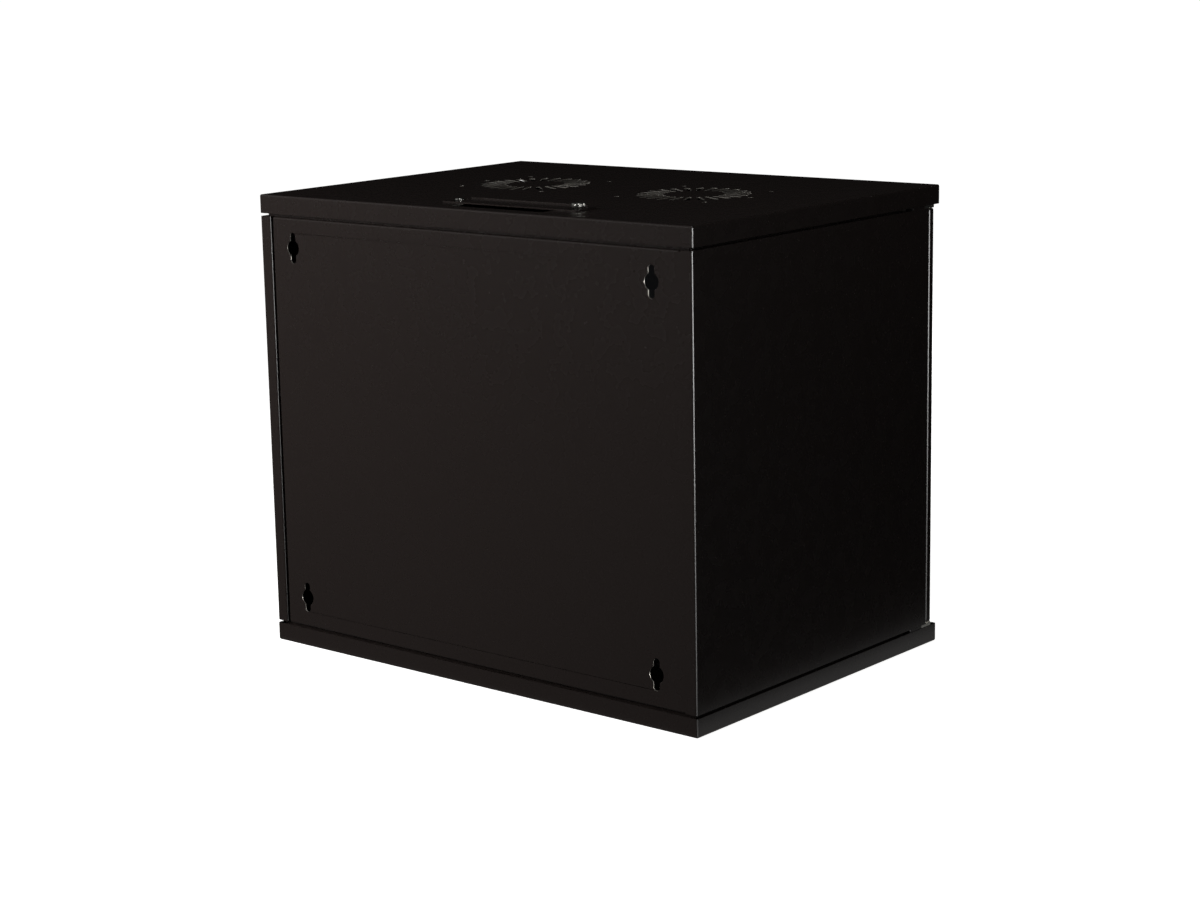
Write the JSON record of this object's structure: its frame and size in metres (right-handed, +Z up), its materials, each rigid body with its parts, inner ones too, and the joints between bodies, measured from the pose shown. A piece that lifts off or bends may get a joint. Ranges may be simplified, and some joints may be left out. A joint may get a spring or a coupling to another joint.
{
  "type": "wall mount network cabinet",
  "caption": "Black folded-steel wall cabinet for rack-mounted network equipment, with a glazed locking door, vented top and base, sliding cable covers and wall keyholes.",
  "frame": {"origin": "under the middle of the base, on the plane that the cabinet stands on", "axes": "+Z up; the wall side faces +Y and the door faces -Y; the door hangs on the -X side"},
  "size_m": [0.54, 0.394, 0.4644],
  "materials": {
    "black_powder_coat": "satin black powder coat on folded steel",
    "zinc_plate": "bright zinc plate",
    "nickel_plate": "polished nickel plate",
    "smoked_glass": "tempered, smoked grey",
    "black_rubber": "matte",
    "nylon": "natural nylon",
    "brass": "plain turned brass"
  },
  "bodies": {
    "cabinet": {"top_cover": "black_powder_coat", "bottom_cover": "black_powder_coat", "rear_panel": "black_powder_coat", "side_panel_right": "black_powder_coat", "side_panel_left": "black_powder_coat", "front_header_top": "black_powder_coat", "front_header_bottom": "black_powder_coat", "cover_screws_top": "zinc_plate", "cover_screws_bottom": "zinc_plate", "weld_nuts_top": "zinc_plate", "weld_nuts_bottom": "zinc_plate", "rear_panel_screws": "zinc_plate", "rear_panel_weld_nuts": "zinc_plate", "depth_rail_right_lower": "black_powder_coat", "depth_rail_right_upper": "black_powder_coat", "depth_rail_left_lower": "black_powder_coat", "depth_rail_left_upper": "black_powder_coat", "hinge_plate_upper": "zinc_plate", "hinge_plate_lower": "zinc_plate", "hinge_pin_lower": "zinc_plate", "hinge_washer": "nylon", "hinge_screws": "zinc_plate", "door_buffers": "black_rubber", "cable_cover_thumbscrew": "zinc_plate", "cable_cover_guide_screw": "zinc_plate", "cable_cover_screws_bottom": "zinc_plate", "earth_stud": "brass", "earth_nuts": "zinc_plate", "earth_washer": "zinc_plate"},
    "door": {"door_frame": "black_powder_coat", "door_glass": "smoked_glass", "glass_gasket": "black_rubber", "glass_clips": "zinc_plate", "hinge_pin_bracket": "zinc_plate", "lock_body": "nickel_plate", "lock_nut": "zinc_plate", "hinge_pin_spring": "zinc_plate"},
    "lock_core": {"lock_plug": "nickel_plate", "lock_cam": "zinc_plate", "lock_cam_screw": "zinc_plate"},
    "hinge_pin": {"hinge_pin_upper": "zinc_plate"},
    "rail_right": {"mounting_rail_right": "black_powder_coat", "rail_bolts_right": "zinc_plate", "rail_nuts_right": "zinc_plate"},
    "rail_left": {"mounting_rail_left": "black_powder_coat", "rail_bolts_left": "zinc_plate", "rail_nuts_left": "zinc_plate"},
    "top_slide": {"cable_cover_top": "black_powder_coat"},
    "bottom_slide": {"cable_cover_bottom": "black_powder_coat"}
  },
  "joints": [
    {"name": "door_swing", "type": "hinge", "parent": "cabinet", "child": "door", "pos_m": [-0.2645, -0.1855, 0.229], "axis": [0, 0, -1], "range_deg": [0, 180]},
    {"name": "lock_turn", "type": "hinge", "parent": "door", "child": "lock_core", "pos_m": [0.233, -0.1855, 0.229], "axis": [0, -1, 0], "range_deg": [0, 90]},
    {"name": "hinge_pin_release", "type": "slide", "parent": "door", "child": "hinge_pin", "axis": [0, 0, -1], "range_m": [0, 0.008], "stiffness_N_per_m": 400, "springref_m": -0.01, "deforming": ["hinge_pin_spring"]},
    {"name": "rail_right_slide", "type": "slide", "parent": "cabinet", "child": "rail_right", "axis": [0, 1, 0], "range_m": [0, 0.185]},
    {"name": "rail_left_slide", "type": "slide", "parent": "cabinet", "child": "rail_left", "axis": [0, 1, 0], "range_m": [0, 0.185]},
    {"name": "cable_cover_top_slide", "type": "slide", "parent": "cabinet", "child": "top_slide", "axis": [0, 1, 0], "range_m": [-0.0075, 0.0075]},
    {"name": "cable_cover_bottom_slide", "type": "slide", "parent": "cabinet", "child": "bottom_slide", "axis": [0, 1, 0], "range_m": [-0.0075, 0.0075]}
  ]
}
